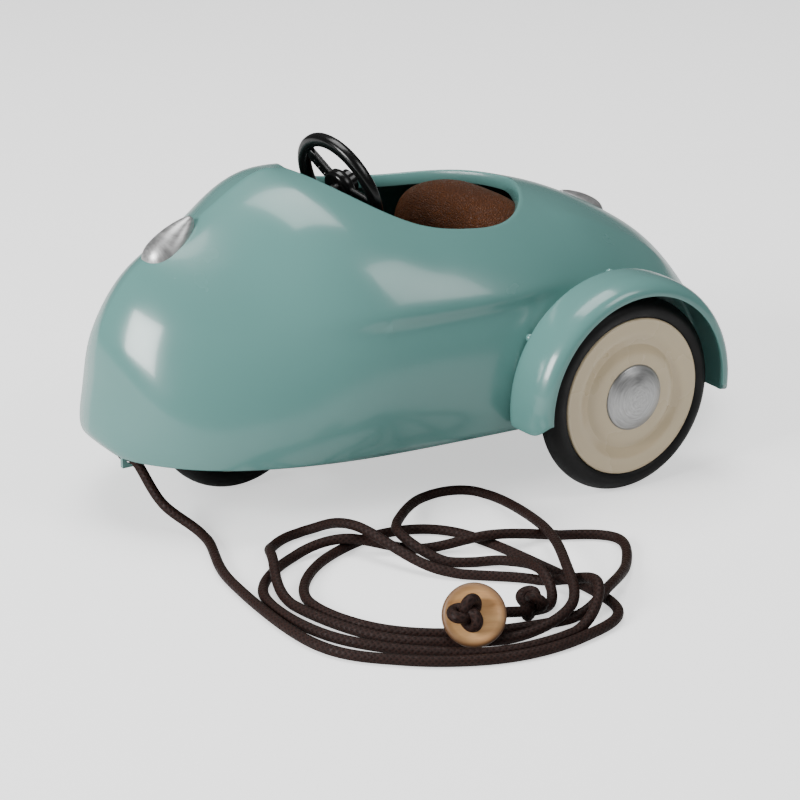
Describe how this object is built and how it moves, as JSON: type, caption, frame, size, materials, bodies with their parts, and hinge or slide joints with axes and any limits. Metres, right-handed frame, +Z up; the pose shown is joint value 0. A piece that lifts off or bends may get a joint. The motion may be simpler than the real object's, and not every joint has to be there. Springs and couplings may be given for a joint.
{
  "type": "pull_along_toy_car",
  "caption": "Small tinplate pull-along tricar with cream disc wheels, a leather seat, a steering wheel and a waxed pull cord with a wooden button",
  "frame": {"origin": "centre of the underside of the bounding box without the pull cord; the tyres stand on Z = 0", "axes": "+X to the car's left, the side where the cord lies; +Y to the tail, with the nose towards -Y; +Z up"},
  "size_m": [0.1468, 0.1489, 0.071],
  "materials": {
    "enamel": "glossy petrol-green enamel on pressed steel",
    "silver": "silver paint with fine turned marks",
    "tyre": "satin black solid rubber",
    "cream": "glossy cream enamel",
    "black_plastic": "glossy black",
    "nylon": "natural nylon",
    "leather": "grained tan leather",
    "cord": "waxed dark brown braid",
    "wood": "light hardwood with a darker edge",
    "zinc": "bright zinc-plated steel"
  },
  "bodies": {
    "chassis": {"body_shell": "enamel", "fender_left": "enamel", "fender_right": "enamel", "fender_rivets": "enamel", "headlamp": "silver", "tail_lamp": "silver", "floor_pan": "enamel", "mounting_tabs": "enamel", "floor_screws": "zinc", "tow_tab": "enamel", "tow_rivet": "zinc", "rear_axle": "zinc", "rear_bracket_left": "zinc", "rear_bracket_right": "zinc", "rear_spacers": "nylon", "rear_push_nuts": "zinc", "front_axle": "zinc", "front_bracket_left": "zinc", "front_bracket_right": "zinc", "front_spacers": "nylon", "front_push_nuts": "zinc", "column_bush": "nylon", "column_bracket": "zinc", "seat_base": "zinc", "seat_cushion": "leather", "seat_back": "leather", "seat_rivets": "zinc", "pull_cord": "cord", "tow_knot": "cord", "end_knot": "cord", "cord_button": "wood", "button_knot": "cord"},
    "rear_left_wheel": {"rear_left_tyre": "tyre", "rear_left_outer_disc": "cream", "rear_left_inner_disc": "cream", "rear_left_hub": "nylon", "rear_left_hub_cap": "silver"},
    "rear_right_wheel": {"rear_right_tyre": "tyre", "rear_right_outer_disc": "cream", "rear_right_inner_disc": "cream", "rear_right_hub": "nylon", "rear_right_hub_cap": "silver"},
    "front_wheel": {"front_tyre": "tyre", "front_left_disc": "cream", "front_right_disc": "cream", "front_hub": "nylon"},
    "steering": {"steering_wheel": "black_plastic", "steering_shaft": "zinc", "steering_nut": "black_plastic", "shaft_collar": "zinc"}
  },
  "joints": [
    {"name": "rear_left_wheel_spin", "type": "hinge", "parent": "chassis", "child": "rear_left_wheel", "pos_m": [0.044, 0.0235, 0.0204], "axis": [1, 0, 0], "continuous": true},
    {"name": "rear_right_wheel_spin", "type": "hinge", "parent": "chassis", "child": "rear_right_wheel", "pos_m": [-0.044, 0.0235, 0.0204], "axis": [1, 0, 0], "continuous": true},
    {"name": "front_wheel_spin", "type": "hinge", "parent": "chassis", "child": "front_wheel", "pos_m": [0, -0.0425, 0.0179], "axis": [1, 0, 0], "continuous": true},
    {"name": "steering_turn", "type": "hinge", "parent": "chassis", "child": "steering", "pos_m": [0, -0.0165, 0.0594], "axis": [-0.0976, 0.9285, 0.3584], "continuous": true}
  ]
}
